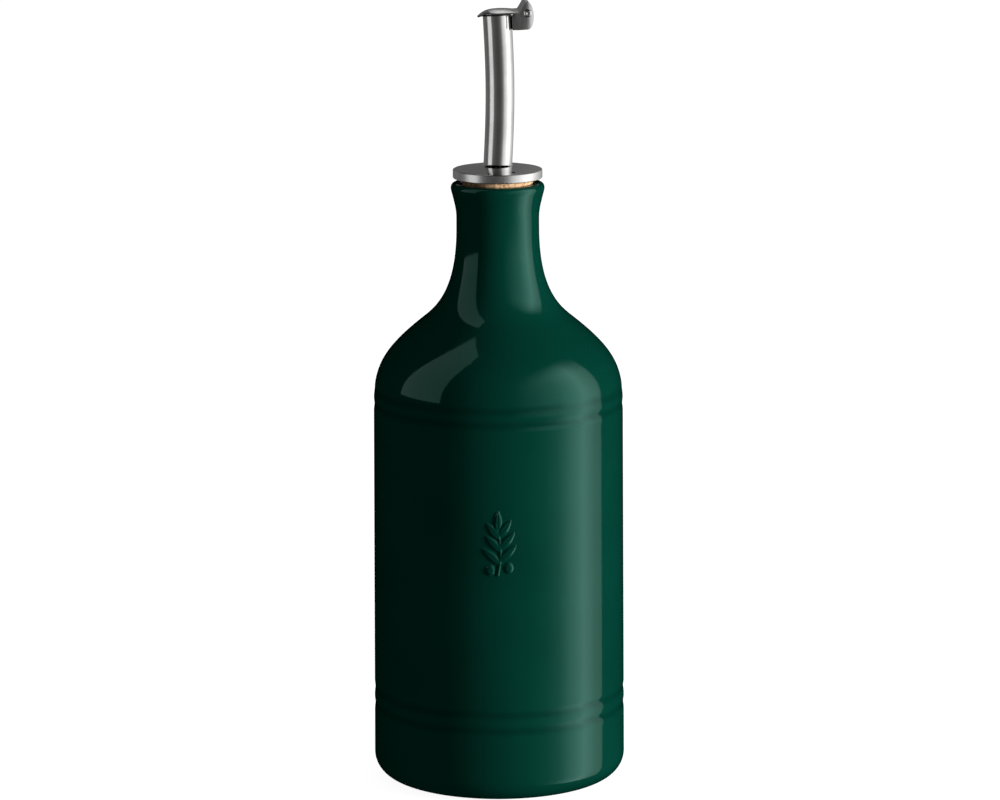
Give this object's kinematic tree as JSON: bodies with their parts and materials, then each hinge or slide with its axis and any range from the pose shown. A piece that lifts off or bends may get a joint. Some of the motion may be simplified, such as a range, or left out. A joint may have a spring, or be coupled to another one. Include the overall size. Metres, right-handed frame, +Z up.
{
  "type": "oil bottle",
  "caption": "Glazed stoneware oil bottle with a grooved cylindrical body, round shoulder and slim neck, stoppered by a cork with a steel pour tube under a hinged flap.",
  "frame": {"origin": "middle of the foot, on the ground", "axes": "+Z up along the bottle's axis, -Y the front, and the pourer's beak towards -X, turned 5 degrees to the front"},
  "size_m": [0.076, 0.076, 0.237],
  "materials": {
    "glaze": "deep green glossy glaze on stoneware",
    "cork": "natural agglomerated cork",
    "steel": "polished stainless steel with fine drawing lines"
  },
  "bodies": {
    "root": {"bottle": "glaze", "cork": "cork", "collar": "steel", "pour_tube": "steel", "hinge_bracket": "steel"},
    "flap": {"flap": "steel", "hinge_pin": "steel"}
  },
  "joints": [
    {"name": "flap_hinge", "type": "hinge", "parent": "root", "child": "flap", "pos_m": [0.00864, 0.00076, 0.23352], "axis": [-0.0872, 0.9962, 0], "range_deg": [0, 100]}
  ]
}
